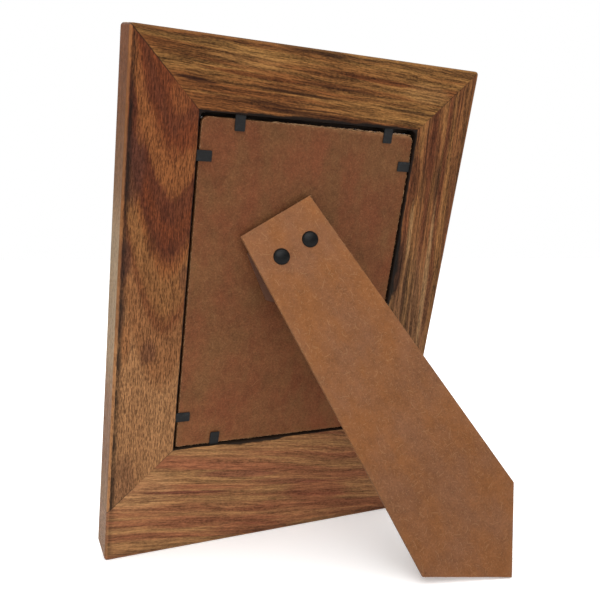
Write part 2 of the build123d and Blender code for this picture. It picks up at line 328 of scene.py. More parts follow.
def makeGrainMarks():
    tree, given, made = newGroup("grainMarks", {
        "Place": "Vector", "Wander": 2.0, "Dash length": 3.0, "Seed": 0.0,
    }, dict.fromkeys((*grainLook["marks"], "Pores"), "Float"))
    place = vectors(tree, "ADD", given["Place"], stretch(tree, grainLook["seedStep"], given["Seed"]))
    stray = minus(tree, cloud(tree, place, grainLook["wanderSize"], 2.0), 0.5)
    x, y, z = split(tree, place)
    y = sums(tree, "MULTIPLY_ADD", stray, given["Wander"], y)
    place = joined(tree, x, y, z)
    for label, (size, detail, start, end) in grainLook["marks"].items():
        tree.links.new(ramp(tree, cloud(tree, place, size, detail), start, end), made[label])

    # open pores: thin dashes along the grain, one to a cell
    flat = joined(tree, sums(tree, "DIVIDE", x, given["Dash length"]), sums(tree, "ADD", y, z), 0.0)
    pores = 0.0
    for cellSize, thickness, left in grainLook["pores"]:
        away, pick = scatter(tree, scaled(tree, flat, cellSize))
        along, aside = split(tree, away)[:2]
        kept = sums(tree, "GREATER_THAN", pick[0], left)
        pore = dash(tree, along, aside, grainLook["poreEnds"], thickness, grainLook["poreCore"], kept)
        pores = sums(tree, "MAXIMUM", pores, pore)
    tree.links.new(pores, made["Pores"])
    return tree


# one soft-edged oval patch
patchEdge = (1.15, 0.6)  # shares of its reach where it starts and is full


def makeSoftPatch():
    tree, given, made = newGroup("softPatch", {
        "Place": "Vector", "Centre": "Vector", "Reach": "Vector",
    }, {"Mask": "Float"})
    away = vectors(tree, "SUBTRACT", given["Place"], given["Centre"])
    away = vectors(tree, "DIVIDE", away, given["Reach"])
    far = addNode(tree, "ShaderNodeVectorMath", {0: away}, operation="LENGTH").outputs["Value"]
    tree.links.new(ramp(tree, far, *patchEdge), made["Mask"])
    return tree


# lines that follow the frame: burnt rebate edge with painted shade on the rebate walls and lip, dark mitres, a
# dark line inside the outer edge, the sides
edgeLook = {
    "raggedSize": (14, 14, 14), "burnReach": (0.3, 0.7, 0.6, 1.4), "burnFade": (1.6, 0.7),
    "glassSlack": 0.05, "wallFade": (-0.3, -0.6), "wallReach": 0.2,
    "gapeAcross": (-62, -66), "gapeUp": (98, 104), "mitreShown": (0.42, 0.55, 0.15, 0.8),
    "lineStart": (-0.2, 0.2), "lineFade": (3.0, 0.4), "lineShown": (0.35, 0.6, 0.55, 1.0),
    "sideFade": (-0.8, -1.3), "sideReach": 1.3, "arrisFade": (1.3, 0.5),
}


def makeEdgeLines():
    tree, given, made = newGroup("edgeLines", {
        "Place": "Vector", "Burn width": 0.8, "Mitre width": 0.45, "Line inset": 1.2,
    }, dict.fromkeys(("Burn", "Mitre", "Line", "Arris", "Side"), "Float"))
    x, y, z = split(tree, given["Place"])
    middleUp = (rebate["top"] + rebate["bottom"]) / 2
    pastSide = minus(tree, sums(tree, "ABSOLUTE", x), rebate["right"])
    pastEnd = sums(tree, "ABSOLUTE", minus(tree, y, middleUp))
    pastEnd = minus(tree, pastEnd, (rebate["top"] - rebate["bottom"]) / 2)
    rim = sums(tree, "MAXIMUM", pastSide, pastEnd)
    uneven = cloud(tree, given["Place"], edgeLook["raggedSize"], 4.0, 0.65)
    reach = ramp(tree, uneven, *edgeLook["burnReach"])
    reach = times(tree, reach, given["Burn width"])
    burn = ramp(tree, sums(tree, "DIVIDE", rim, reach), *edgeLook["burnFade"])
    # painted shade: the rebate walls and the lip below them are darkened all the way down to the glass, as the
    # shade in the gap round the board
    wall = ramp(tree, z, *edgeLook["wallFade"])  # the rebate walls are dark all the way down
    wall = times(tree, wall, sums(tree, "LESS_THAN", rim, edgeLook["wallReach"]))
    behindGlass = sums(tree, "GREATER_THAN", z, rebateFloor - edgeLook["glassSlack"])
    burn = times(tree, sums(tree, "MAXIMUM", burn, wall), behindGlass)

    fromSide = minus(tree, frameSize[0] / 2, sums(tree, "ABSOLUTE", x))
    fromTop = minus(tree, frameSize[1] / 2, y)
    shoulder = rebate["bottom"] - (frameSize[0] / 2 - rebate["right"])
    fromShoulder = minus(tree, y, shoulder)
    upper = sums(tree, "ABSOLUTE", minus(tree, fromSide, fromTop))
    lower = sums(tree, "ABSOLUTE", minus(tree, fromSide, fromShoulder))
    mitre = sums(tree, "DIVIDE", sums(tree, "MINIMUM", upper, lower), given["Mitre width"])
    mitre = minus(tree, 1.0, mitre, clamp=True)
    gapes = [ramp(tree, at, *edgeLook[label]) for at, label in ((x, "gapeAcross"), (y, "gapeUp"))]
    opened = times(tree, *gapes)  # the upper left mitre gapes
    shown = sums(tree, "MAXIMUM", ramp(tree, uneven, *edgeLook["mitreShown"]), opened)
    mitre = times(tree, mitre, shown)

    fromBottom = sums(tree, "ADD", frameSize[1] / 2, y)
    edge = sums(tree, "MINIMUM", fromSide, sums(tree, "MINIMUM", fromTop, fromBottom))
    inside = minus(tree, edge, given["Line inset"])
    starts, fades = (ramp(tree, inside, *edgeLook[label]) for label in ("lineStart", "lineFade"))
    line = times(tree, starts, fades)
    shown = ramp(tree, uneven, *edgeLook["lineShown"])
    line = times(tree, line, shown)
    outer = sums(tree, "LESS_THAN", edge, edgeLook["sideReach"])
    side = times(tree, ramp(tree, z, *edgeLook["sideFade"]), outer)
    arris = minus(tree, ramp(tree, edge, *edgeLook["arrisFade"]), side, clamp=True)
    feed(tree, made, Burn=burn, Mitre=mitre, Line=line, Side=side, Arris=arris)
    return tree


grainMarks = makeGrainMarks()
softPatch = makeSoftPatch()
edgeLines = makeEdgeLines()
# near black: the burnt rebate edge, the dark mitres and line, and the painted shade on the rebate walls
burntWood = paint(16, 13, 11)

# a patch: across and up from the middle of the back, its reach along and across the grain, colour and depth
# a flame: the height of its tip and its colour; a side tone: its height and its colour
# a scorch: where the burnt rebate edge is wider, its reach across and up, and by how much
railLooks = {
    "left_rail": {
        "turn": 91, "seed": 1.0, "wander": 3.0, "dash": 3.6, "goldShare": 0.1, "bands": 0.3,
        "streaks": 0.14, "fibres": 0.32, "grit": 0.5, "pores": 0.72, "lines": 0.1,
        "edgeLine": 0.9, "smear": 13.0, "burn": 0.35,
        "red": paint(95, 46, 23), "gold": paint(120, 71, 37), "olive": paint(120, 79, 44),
        "brown": paint(102, 59, 33), "tan": paint(124, 82, 49), "pale": paint(142, 101, 65),
        "dark": paint(52, 25, 14), "deep": paint(78, 38, 22), "plum": paint(70, 40, 30),
        # the pale beige tones from -18 to 36 are a painted sheen, a reflection along the side; the others are the
        # side's own tone
        "side": (
            (-118, paint(112, 80, 54)), (-86, paint(120, 90, 62)), (-72, paint(106, 69, 41)),
            (-38, paint(112, 76, 48)), (-18, paint(138, 115, 87)), (36, paint(141, 119, 92)),
            (58, paint(118, 86, 60)), (84, paint(106, 70, 45)), (118, paint(104, 65, 42)),
        ),
        # the arris, lighter than the face, is a painted highlight along the rounded edge
        "arris": paint(138, 94, 58),
        "flameAxis": -61.5, "flameRound": 5.0, "flameRise": 0.085,
        "flames": (
            (-60, "pale"), (-36, "pale"), (-26, "tan"), (-9, "tan"), (-2, "brown"), (5, "olive"),
            (18, "olive"), (24, "gold"), (31, "deep"), (40, "red"), (47, "deep"), (53, "deep"),
            (58, "gold"), (68, "gold"), (77, "red"), (84, "deep"), (92, "red"), (104, "red"),
        ),
        "patches": (
            (-71.8, 97.5, 6, 5, "deep", 0.5), (-61, 97, 9, 5, "gold", 0.4),
            (-80, 67, 17, 7, "plum", 0.8), (-57, 80, 7, 5, "red", 0.7),
            (-69.4, 35, 5, 2.4, "dark", 0.45), (-60.7, 34.6, 4, 2.2, "dark", 0.4),
            (-81, 28, 11, 4.2, "plum", 0.8), (-81.6, 6, 15, 3, "plum", 0.6),
            (-54, 20, 7, 2.6, "plum", 0.5), (-78, -8, 11, 2.4, "gold", 0.5),
            (-76, -78, 15, 6, "plum", 0.4), (-76, 84, 10, 2.6, "gold", 0.5),
            (-68, -14, 6, 4, "plum", 0.5),
        ),
    },
    "right_rail": {
        "turn": 93.5, "seed": 2.0, "wander": 6.0, "dash": 7.0, "goldShare": 0.1, "bands": 0.9,
        "streaks": 0.8, "fibres": 0.3, "grit": 0.5, "pores": 0.52, "lines": 0.7,
        "edgeLine": 0.3, "smear": 14.0, "burn": 0.6, "scorches": ((52.9, 22, 8, 20, 1.5),),
        "red": paint(87, 46, 26), "gold": paint(117, 78, 43), "pale": paint(127, 97, 64),
        "dark": paint(40, 19, 11),
        "side": ((-118, paint(130, 92, 64)), (118, paint(124, 84, 56))), "arris": paint(116, 74, 46),
        "patches": (
            (63, -20, 60, 20, "pale", 0.35), (64, 82, 14, 6, "red", 0.6), (57, 68, 14, 3, "red", 0.7),
            (69.5, 68, 12, 1.4, "dark", 0.7), (73.5, 18, 42, 1.6, "pale", 0.7),
            (55.2, 25, 17, 3, "dark", 0.85), (62, 8, 26, 1.2, "dark", 0.6),
            (67, -6, 30, 1.0, "dark", 0.6), (59, 42, 16, 1.4, "pale", 0.6),
        ),
    },
    "top_rail": {
        "turn": -3, "seed": 3.0, "wander": 6.0, "dash": 8.0, "goldShare": 0.2, "bands": 0.85,
        "streaks": 0.85, "fibres": 0.35, "grit": 0.55, "pores": 0.6, "lines": 0.85,
        "edgeLine": 0.3, "smear": 12.0, "burn": 0.6, "scorches": ((10, 91, 46, 8, 0.5),),
        "red": paint(90, 48, 22), "gold": paint(120, 84, 44), "pale": paint(137, 104, 63),
        "dark": paint(42, 19, 8),
        "side": ((-118, paint(130, 94, 56)), (118, paint(130, 94, 56))), "arris": paint(112, 78, 44),
        "patches": (
            (-58.5, 103.6, 8, 0.7, "dark", 0.9), (-53, 102.6, 8, 0.7, "dark", 0.8),
            (-10, 101.8, 24, 0.8, "dark", 0.75), (-5, 120, 20, 1.9, "dark", 0.7),
            (-34, 113, 18, 4, "pale", 0.15), (55, 108, 14, 5, "pale", 0.3),
            # the dark patch at (10, 92.6) along the inner edge is a painted soft shadow beside the gap
            (10, 92.6, 46, 1.6, "dark", 0.6), (-30, 107, 26, 1.0, "red", 0.8),
            (28, 111, 24, 1.2, "red", 0.8), (50, 99, 18, 0.8, "dark", 0.6),
            (8, 106, 20, 0.7, "dark", 0.55),
        ),
    },
    "bottom_rail": {
        "turn": -8, "seed": 4.0, "wander": 7.0, "dash": 9.0, "goldShare": 0.3, "bands": 0.7,
        "streaks": 0.5, "fibres": 0.32, "grit": 0.42, "pores": 0.45, "lines": 0.45,
        "edgeLine": 0.45, "smear": 16.0, "burn": 0.3, "scorches": ((-11, -64.3, 16, 8, 1.0),),
        "red": paint(119, 65, 45), "gold": paint(139, 100, 63), "pale": paint(152, 114, 76),
        "dark": paint(74, 36, 25), "plum": paint(100, 54, 40),
        "side": ((-118, paint(120, 90, 66)), (118, paint(120, 90, 66))), "arris": paint(100, 66, 46),
        "patches": (
            (-68, -84, 20, 12, "pale", 0.4), (-18, -82.6, 24, 2.2, "plum", 0.7),
            (-44, -89, 26, 0.9, "plum", 0.8), (28, -100, 22, 7, "red", 0.6),
            (-8, -116, 26, 4, "red", 0.6), (-19, -98, 20, 5, "gold", 0.5),
            (8, -91, 24, 2.0, "plum", 0.5),
        ),
    },
}


def railPlace(name, turn):
    points = pointsOf(name, back)
    centre = (points.min(0) + points.max(0)) / 2
    centre[2] = 0
    return back @ Matrix.Translation(Vector(centre) * mm) @ Matrix.Rotation(math.radians(turn), 4, "Z")


def flameColour(tree, at, look):
    # nested tongues of grain that come to a tip low on the flame axis, coloured by the height of their tips
    x, y = split(tree, at)[:2]
    aside = minus(tree, x, look["flameAxis"])
    square = times(tree, aside, aside)
    rounded = sums(tree, "SQRT", sums(tree, "ADD", square, look["flameRound"] ** 2))
    rounded = minus(tree, rounded, look["flameRound"])
    rise = sums(tree, "MULTIPLY_ADD", square, look["flameRise"], rounded)
    tip = minus(tree, y, rise)
    return ladder(tree, tip, [(height, look[kind]) for height, kind in look["flames"]])


# what the four rails share: how much of each tone covers the face, and how rough and deep the grain is
woodLook = {
    "specular": 0.08, "drawnSize": (6, 0.9, 0.9), "brownShare": 0.5, "throughBoard": 400,
    "arris": 0.5, "side": 0.85, "burn": 0.95, "mitre": 0.9,
    "roughness": (0.58, 0.46), "poreRoughness": 0.2, "fibreHeight": 0.4, "relief": 0.08,
}


def makeWood(name, look):
    material, tree, shader = newMaterial(name + "Wood", Specular_IOR_Level=woodLook["specular"])
    boardPlace = railPlace(name, look["turn"])
    board = placeNode(tree, boardPlace)
    marks = useGroup(tree, grainMarks, {
        "Place": board, "Wander": look["wander"], "Dash length": look["dash"], "Seed": look["seed"],
    })
    drawn = minus(tree, cloud(tree, board, woodLook["drawnSize"], 3.0), 0.5)
    drawn = times(tree, drawn, look["smear"])
    gold = sums(tree, "MULTIPLY_ADD", marks["Bands"], look["bands"], look["goldShare"], clamp=True)
    if "flames" in look:
        upright = vectors(tree, "ADD", placeNode(tree, back), joined(tree, 0.0, drawn, 0.0))
        flames = flameColour(tree, upright, look)
        colour = mixed(tree, times(tree, gold, woodLook["brownShare"]), flames, look["brown"])
    else:
        colour = mixed(tree, gold, look["red"], look["gold"])

    # patches, their edges drawn out along the grain
    smeared = vectors(tree, "ADD", board, joined(tree, drawn, 0.0, 0.0))
    for patchAcross, patchUp, along, wide, kind, depth in look["patches"]:
        centre = boardPlace.inverted() @ back @ (Vector((patchAcross, patchUp, 0)) * mm) / mm
        inputs = {"Place": smeared, "Centre": centre, "Reach": (along, wide, woodLook["throughBoard"])}
        mask = useGroup(tree, softPatch, inputs)["Mask"]
        colour = mixed(tree, times(tree, mask, depth), colour, look[kind])

    shade = 1.0
    for label in ("Streaks", "Fibres", "Grit"):
        uneven = minus(tree, marks[label], 0.5)
        shade = sums(tree, "MULTIPLY_ADD", uneven, look[label.lower()], shade)
    colour = stretch(tree, colour, shade)
    for label in ("Pores", "Lines"):
        share = times(tree, marks[label], look[label.lower()])
        colour = mixed(tree, share, colour, look["dark"])

    # the outer edge and the sides get their own plainer tones; on the left rail the paler arris is a painted
    # highlight and the pale middle of the side a painted sheen
    framePlace = placeNode(tree, back)
    burn = look["burn"]
    for scorchAcross, scorchUp, wide, tall, extra in look.get("scorches", ()):
        reach = (wide, tall, woodLook["throughBoard"])
        inputs = {"Place": framePlace, "Centre": (scorchAcross, scorchUp, 0), "Reach": reach}
        burn = sums(tree, "MULTIPLY_ADD", useGroup(tree, softPatch, inputs)["Mask"], extra, burn)
    lines = useGroup(tree, edgeLines, {"Place": framePlace, "Burn width": burn})
    side = stretch(tree, ladder(tree, split(tree, framePlace)[1], look["side"]), shade)
    # the burn mask also carries the painted shade on the rebate walls and lip
    for label, amount, tone in (
        ("Arris", woodLook["arris"], look["arris"]), ("Side", woodLook["side"], side),
        ("Line", look["edgeLine"], burntWood), ("Burn", woodLook["burn"], burntWood),
        ("Mitre", woodLook["mitre"], burntWood),
    ):
        colour = mixed(tree, times(tree, lines[label], amount), colour, tone)
    rough = ramp(tree, marks["Streaks"], 0, 1, *woodLook["roughness"], smooth=False)
    rough = sums(tree, "MULTIPLY_ADD", marks["Pores"], woodLook["poreRoughness"], rough)
    feed(tree, shader.inputs, Base_Color=colour, Roughness=rough)
    height = times(tree, marks["Fibres"], woodLook["fibreHeight"])
    height = minus(tree, height, marks["Pores"])
    addBump(tree, shader, minus(tree, height, lines["Mitre"]), woodLook["relief"])
    return material


for name, look in railLooks.items():
    dress(name, makeWood(name, look))
print("wood: four rails")


# hardboard

# pressed fibre: mottled, speckled and flecked with short pale fibres
# a cloud: its size, detail and roughness
# a fleck: the size of its cell, its half length and half width in cells, and the share left out
fibreLook = {
    "seedStep": (67.0, 131.0, 29.0), "contrast": 4.0, "hueFade": (0.3, 0.7),
    "clouds": {
        "Mottle": ((38, 26, 38), 4.0, 0.6), "Clumps": ((4.5, 5.5, 4.5), 3.0, 0.6),
        "Speckle": ((0.75, 0.75, 0.75), 3.0, 0.7), "Hue": ((16, 30, 16), 4.0, 0.6),
        "Fray": ((2.5, 2.5, 0.35), 3.0, 0.65),
    },
    "flecks": ((2.6, 0.34, 0.07, 0.55), (1.4, 0.36, 0.08, 0.5), (6.5, 0.3, 0.034, 0.68)),
    "fleckCurl": 3.0, "fleckCore": 0.3, "fleckEnds": 0.7,
    "frayShown": (0.3, 0.7, 0.15, 1.0), "roughness": (0.3, 0.7, 0.62, 0.8), "specular": 0.08,
    "speckHeight": 0.5, "relief": 0.07,
}


def makePressedFibre():
    tree, given, made = newGroup("pressedFibre", {
        "Place": "Vector",
        "Base": paint(118, 76, 50), "Warm": paint(124, 76, 40), "Pale": paint(186, 142, 100),
        "Mottle": 0.12, "Clumps": 0.1, "Speckle": 0.2, "Flecks": 0.5, "Torn": 0.0, "Seed": 0.0,
    }, {"Color": "Color", "Roughness": "Float", "Height": "Float"})
    place = vectors(tree, "ADD", given["Place"], stretch(tree, fibreLook["seedStep"], given["Seed"]))
    clouds = {label: cloud(tree, place, *sizes) for label, sizes in fibreLook["clouds"].items()}
    tone = 1.0
    for label in ("Mottle", "Clumps", "Speckle"):
        depth = times(tree, given[label], fibreLook["contrast"])
        tone = sums(tree, "MULTIPLY_ADD", minus(tree, clouds[label], 0.5), depth, tone)
    hue = ramp(tree, clouds["Hue"], *fibreLook["hueFade"])
    colour = stretch(tree, mixed(tree, hue, given["Base"], given["Warm"]), tone)

    fleck = 0.0
    for size, length, width, left in fibreLook["flecks"]:
        away, pick = scatter(tree, scaled(tree, place, (size, size, size)))
        inputs = {"Vector": away, "Angle": times(tree, pick[0], math.tau)}
        spun = addNode(tree, "ShaderNodeVectorRotate", inputs, rotation_type="Z_AXIS").outputs[0]
        along, aside = split(tree, spun)[:2]
        curl = times(tree, minus(tree, pick[1], 0.5), fibreLook["fleckCurl"])
        bow = times(tree, curl, times(tree, along, along))
        ends = (length, length * fibreLook["fleckEnds"])
        kept = sums(tree, "GREATER_THAN", pick[2], left)
        one = dash(tree, along, minus(tree, aside, bow), ends, width, fibreLook["fleckCore"], kept)
        fleck = sums(tree, "MAXIMUM", fleck, one)
    fleck = times(tree, fleck, given["Flecks"])
    colour = mixed(tree, fleck, colour, given["Pale"])
    frayed = ramp(tree, clouds["Fray"], *fibreLook["frayShown"])
    colour = mixed(tree, times(tree, given["Torn"], frayed), colour, given["Pale"])
    rough = ramp(tree, clouds["Speckle"], *fibreLook["roughness"], smooth=False)
    height = sums(tree, "MULTIPLY_ADD", clouds["Speckle"], fibreLook["speckHeight"], fleck)
    height = sums(tree, "MULTIPLY_ADD", frayed, given["Torn"], height)
    feed(tree, made, Color=colour, Roughness=rough, Height=height)
    return tree


pressedFibre = makePressedFibre()


def makeHardboard(name, place, look):
    material, tree, shader = newMaterial(name + "Fibre", Specular_IOR_Level=fibreLook["specular"])
    at = placeNode(tree, place)
    torn = addNode(tree, "ShaderNodeAttribute", attribute_name="torn").outputs["Fac"]
    chosen = ("Base", "Warm", "Pale", "Mottle", "Clumps", "Speckle", "Flecks", "Seed")
    inputs = {"Place": at, "Torn": torn, **{label: look[label.lower()] for label in chosen}}
    fibre = useGroup(tree, pressedFibre, inputs)
    # painted shade: the colour is darkened along the board's height, standing in for light falling unevenly
    faded = ramp(tree, split(tree, at)[1], *look["fade"], smooth=False)
    colour = stretch(tree, fibre["Color"], faded)
    feed(tree, shader.inputs, Base_Color=colour, Roughness=fibre["Roughness"])
    addBump(tree, shader, fibre["Height"], fibreLook["relief"])
    return material


def outlineOf(node, place, level, slack=0.05, shortest=0.02):
    # the convex outline of a node's face at one level, anticlockwise
    points = pointsOf(node, place)
    face = [Vector(point[:2]) for point in points if abs(point[2] - level) < slack]
    hull = [face[index] for index in convex_hull_2d(face)]
    pairs = zip(hull, hull[-1:] + hull[:-1])
    return [point for point, before in pairs if (point - before).length > shortest]


def walked(corners, step):
    path = []
    for start, end in zip(corners, corners[1:] + corners[:1]):
        count = max(1, round((end - start).length / step))
        path += [start.lerp(end, index / count) for index in range(count)]
    return path


def inwardOf(run):
    return np.column_stack((-run[:, 1], run[:, 0])) / np.linalg.norm(run, axis=1)[:, None]


def ragged(path, seed, size):
    # 0 to 1, changing along an edge
    fall, step, octaves = 1.0, 2.0, 4
    spots = [Vector((at.x / size, at.y / size, seed)) for at in path]
    return np.array([noise.fractal(spot, fall, step, octaves) for spot in spots]) * 0.5 + 0.5


# rings from one face round the edge to the other: how far in, how deep, how torn and how ragged
edgeRings = (
    (2.2, 0.0, 0.0, 0.0), (0.45, 0.0, 0.25, 0.35), (0.2, 0.05, 0.9, 0.35), (0.06, 0.2, 0.8, 0.3),
    (0.03, 0.45, 0.7, 0.2), (0.05, 0.75, 0.7, 0.25), (0.2, 0.95, 0.8, 0.3), (0.45, 1.0, 0.25, 0.3),
    (2.2, 1.0, 0.0, 0.0),
)
ringLook = {"seedStep": 0.2, "cornerPasses": 12, "doubles": 0.05, "slivers": 0.01}


def cleanUp(mesh):
    shape = bmesh.new()
    shape.from_mesh(mesh)
    bmesh.ops.remove_doubles(shape, verts=shape.verts, dist=ringLook["doubles"] * mm)
    bmesh.ops.dissolve_degenerate(shape, edges=shape.edges, dist=ringLook["slivers"] * mm)
    bmesh.ops.triangulate(shape, faces=[face for face in shape.faces if len(face.verts) > 4])
    bmesh.ops.recalc_face_normals(shape, faces=shape.faces)
    shape.to_mesh(mesh)
    shape.free()


def makeBoard(name, node, place, look, outlineLevel):
    # a board sawn to the node's outline, its edges eased, uneven and torn
    points = pointsOf(node, place)
    top, bottom = points[:, 2].max(), points[:, 2].min()
    corners = outlineOf(node, place, outlineLevel)
    path = walked(corners, look["step"])
    at = np.array([tuple(point) for point in path])
    inward = inwardOf(np.roll(at, -1, 0) - np.roll(at, 1, 0))
    cornerAt = np.array([tuple(corner) for corner in corners])
    wallInward = inwardOf(np.roll(cornerAt, -1, 0) - cornerAt)
    rough = np.array([look["rough"](*point) for point in at])
    verts, torn = [], []
    for index, (inset, depth, tear, rag) in enumerate(edgeRings):
        wear = ragged(path, look["seed"] + ringLook["seedStep"] * index, look["ragSize"]) * rag * rough
        ring = at + inward * (inset + wear)[:, None]
        for _ in range(ringLook["cornerPasses"]):  # keeps the ring inside the edges round a corner
            for base, side in zip(cornerAt, wallInward):
                ring += np.maximum(inset - (ring - base) @ side, 0)[:, None] * side
        verts += [(x, y, top + (bottom - top) * depth) for x, y in ring]
        torn += list(np.clip(tear * rough, 0, 1))
    size = len(path)
    faces = [tuple(range(size)), tuple(reversed(range(len(verts) - size, len(verts))))]
    for ring in range(len(edgeRings) - 1):
        for index in range(size):
            first, second = ring * size + index, ring * size + (index + 1) % size
            faces.append((first, first + size, second + size, second))
    mesh = bpy.data.meshes.new(name)
    mesh.from_pydata(verts, [], faces)
    mesh.attributes.new("torn", "FLOAT", "POINT").data.foreach_set("value", torn)
    mesh.transform(place @ Matrix.Scale(mm, 4))
    mesh.materials.append(look["material"])
    cleanUp(mesh)
    return mesh, path


def backboardRough(x, y):
    # the upper edge is torn, more towards +x, and the lower edge a little
    tear = backboardLook["tear"]
    low, high = tear["upperRange"]
    upper = min(high, max(low, (x - tear["from"]) / tear["over"]))
    return tear["least"] + (y > tear["upperFrom"]) * upper + tear["lower"] * (y < tear["lowerFrom"])


backboardLook = {
    "base": paint(107, 62, 39), "warm": paint(105, 70, 43), "pale": paint(170, 126, 86),
    "mottle": 0.16, "clumps": 0.14, "speckle": 0.33, "flecks": 0.12, "seed": 5.0,
    # painted shade: the backboard darkens towards its top
    "fade": (-60, 90, 1.0, 0.82), "step": 0.5, "ragSize": 2.2, "rough": backboardRough,
    "tear": {
        "least": 0.3, "upperFrom": 86, "upperRange": (0.2, 1.4), "from": -20, "over": 40,
        "lowerFrom": -62, "lower": 0.4,
    },
}
strutLook = {
    "base": paint(118, 79, 54), "warm": paint(124, 79, 46), "pale": paint(186, 146, 104),
    "mottle": 0.1, "clumps": 0.12, "speckle": 0.19, "flecks": 0.18, "seed": 2.0,
    # painted shade: the strut darkens towards its foot
    "fade": (-150, 0, 0.77, 1.0), "step": 0.5, "ragSize": 3.0, "rough": lambda x, y: 0.15,
}
boardTop = pointsOf("backboard", back)[:, 2].max()
strutLevels = pointsOf("strut", strutPlace)[:, 2]
strutTop = strutLevels.max()
boards = (
    ("backboard", "frame", back, backboardLook, boardTop),
    ("strut", "strut", strutPlace, strutLook, strutLevels.min()),
)
edgePaths = {}
for node, body, place, look, outlineLevel in boards:
    look["material"] = makeHardboard(node, place, look)
    mesh, edgePaths[node] = makeBoard(node + "Sheet", node, place, look, outlineLevel)
    addPiece(node + "Sheet", mesh, body, "hardboard", node)


# loose fibres along a sawn edge
frayLook = {
    "shortest": 0.45,  # as a share of the longest
    "inset": 0.3, "reach": 60,  # the board's start this far inside an edge at this reach
    "boardDepth": 0.15, "topDepth": 0.1, "strutDepth": 0.3,
    "topBand": 3, "topFrom": -20,  # where the upper edge is torn
}


def makeFrayTree():
    tree, given, made = newGroup("frayedEdge", {
        "Geometry": "Geometry", "Spacing": 0.6, "Length": 1.6,
        "Thickness": 0.03,  # as a share of the length
        "Spread": 0.6, "Share": 0.6, "Seed": 1, "Material": "Material",
    }, {"Geometry": "Geometry"}, kind="GeometryNodeTree")
    edge = addNode(tree, "GeometryNodeMeshToCurve", {"Mesh": given["Geometry"]}).outputs[0]
    inputs = {"Curve": edge, "Length": given["Spacing"]}
    spaced = addNode(tree, "GeometryNodeCurveToPoints", inputs, mode="LENGTH").outputs
    inputs = {"Resolution": 5, "Start": (0, 0, -0.5), "Middle": (0.22, 0.12, 0.05), "End": (-0.08, 0, 0.5)}
    bend = addNode(tree, "GeometryNodeCurveQuadraticBezier", inputs).outputs[0]
    inputs = {"Resolution": 4, "Radius": given["Thickness"]}
    section = addNode(tree, "GeometryNodeCurvePrimitiveCircle", inputs).outputs[0]
    inputs = {"Curve": bend, "Profile Curve": section, "Fill Caps": True}
    strand = addNode(tree, "GeometryNodeCurveToMesh", inputs).outputs[0]

    spread = joined(tree, given["Spread"], given["Spread"], math.pi)
    inputs = {0: stretch(tree, spread, -1.0), 1: spread, "Seed": given["Seed"]}
    turn = addNode(tree, "FunctionNodeRandomValue", inputs, data_type="FLOAT_VECTOR").outputs[0]
    turn = addNode(tree, "FunctionNodeEulerToRotation", {0: turn}).outputs[0]
    inputs = {"Rotation": spaced["Rotation"], "Rotate By": turn}
    turn = addNode(tree, "FunctionNodeRotateRotation", inputs, rotation_space="LOCAL").outputs[0]
    shortest = times(tree, given["Length"], frayLook["shortest"])
    inputs = {2: shortest, 3: given["Length"], "Seed": sums(tree, "ADD", given["Seed"], 1.0)}
    size = addNode(tree, "FunctionNodeRandomValue", inputs, data_type="FLOAT").outputs[1]
    inputs = {6: given["Share"], "Seed": sums(tree, "ADD", given["Seed"], 2.0)}
    kept = addNode(tree, "FunctionNodeRandomValue", inputs, data_type="BOOLEAN").outputs[3]
    inputs = {
        "Points": spaced["Points"], "Selection": kept, "Instance": strand, "Rotation": turn, "Scale": size,
    }
    strands = addNode(tree, "GeometryNodeInstanceOnPoints", inputs).outputs[0]
    endTree(tree, strands, given["Material"], made)
    return tree


def edgeMesh(name, path, level, closed=True):
    mesh = bpy.data.meshes.new(name)
    runs = [(index, index + 1) for index in range(len(path) - 1)]
    if closed:
        runs.append((len(path) - 1, 0))
    mesh.from_pydata([(point.x, point.y, level) for point in path], runs, [])
    return mesh


strandMaterial = twoToned("looseFibre", 1.5, paint(150, 104, 70), paint(206, 168, 126),
                          Roughness=0.8, Specular_IOR_Level=0.15)
fray = {
    "Spacing": 0.55, "Length": 1.7, "Thickness": 0.035, "Spread": 0.5, "Share": 0.55,
    "Material": strandMaterial,
}
frayTree = makeFrayTree()
topBase = rebate["top"] - frayLook["topBand"]
boardPath = edgePaths["backboard"]
topPath = [point for point in boardPath if point.y > topBase and point.x > frayLook["topFrom"]]
topPath.sort(key=lambda point: point.x)
shrink = 1 - frayLook["inset"] / frayLook["reach"]
drawnIn = [point * shrink for point in boardPath]
boardEdge = edgeMesh("boardEdge", drawnIn, boardTop - frayLook["boardDepth"])
topEdge = edgeMesh("topRun", topPath, boardTop - frayLook["topDepth"], closed=False)
strutEdge = edgeMesh("strutEdge", edgePaths["strut"], strutTop - frayLook["strutDepth"])
frayRuns = (
    ("backboardFrays", "frame", back, boardEdge, {"Seed": 11}),
    ("topEdgeFrays", "frame", back, topEdge, {"Seed": 23, "Spacing": 0.22, "Length": 1.9}),
    ("strutFrays", "strut", strutPlace, strutEdge, {"Seed": 37, "Share": 0.1, "Length": 1.0}),
)
for name, body, place, edge, changes in frayRuns:
    addPiece(name, grow(name, frayTree, {**fray, **changes}, place, edge), body, "hardboard")
print("hardboard: backboard and strut, with loose fibres")


# tabs, rivets and hinge

steelLook = {
    "wearSize": (2.2, 2.2, 2.2), "wearFade": (0.5, 0.75), "scuffSize": (5.0, 0.5, 5.0),
    "scuffFade": (0.3, 0.7), "smoother": 0.08, "rougher": 0.1, "relief": 0.02,
}


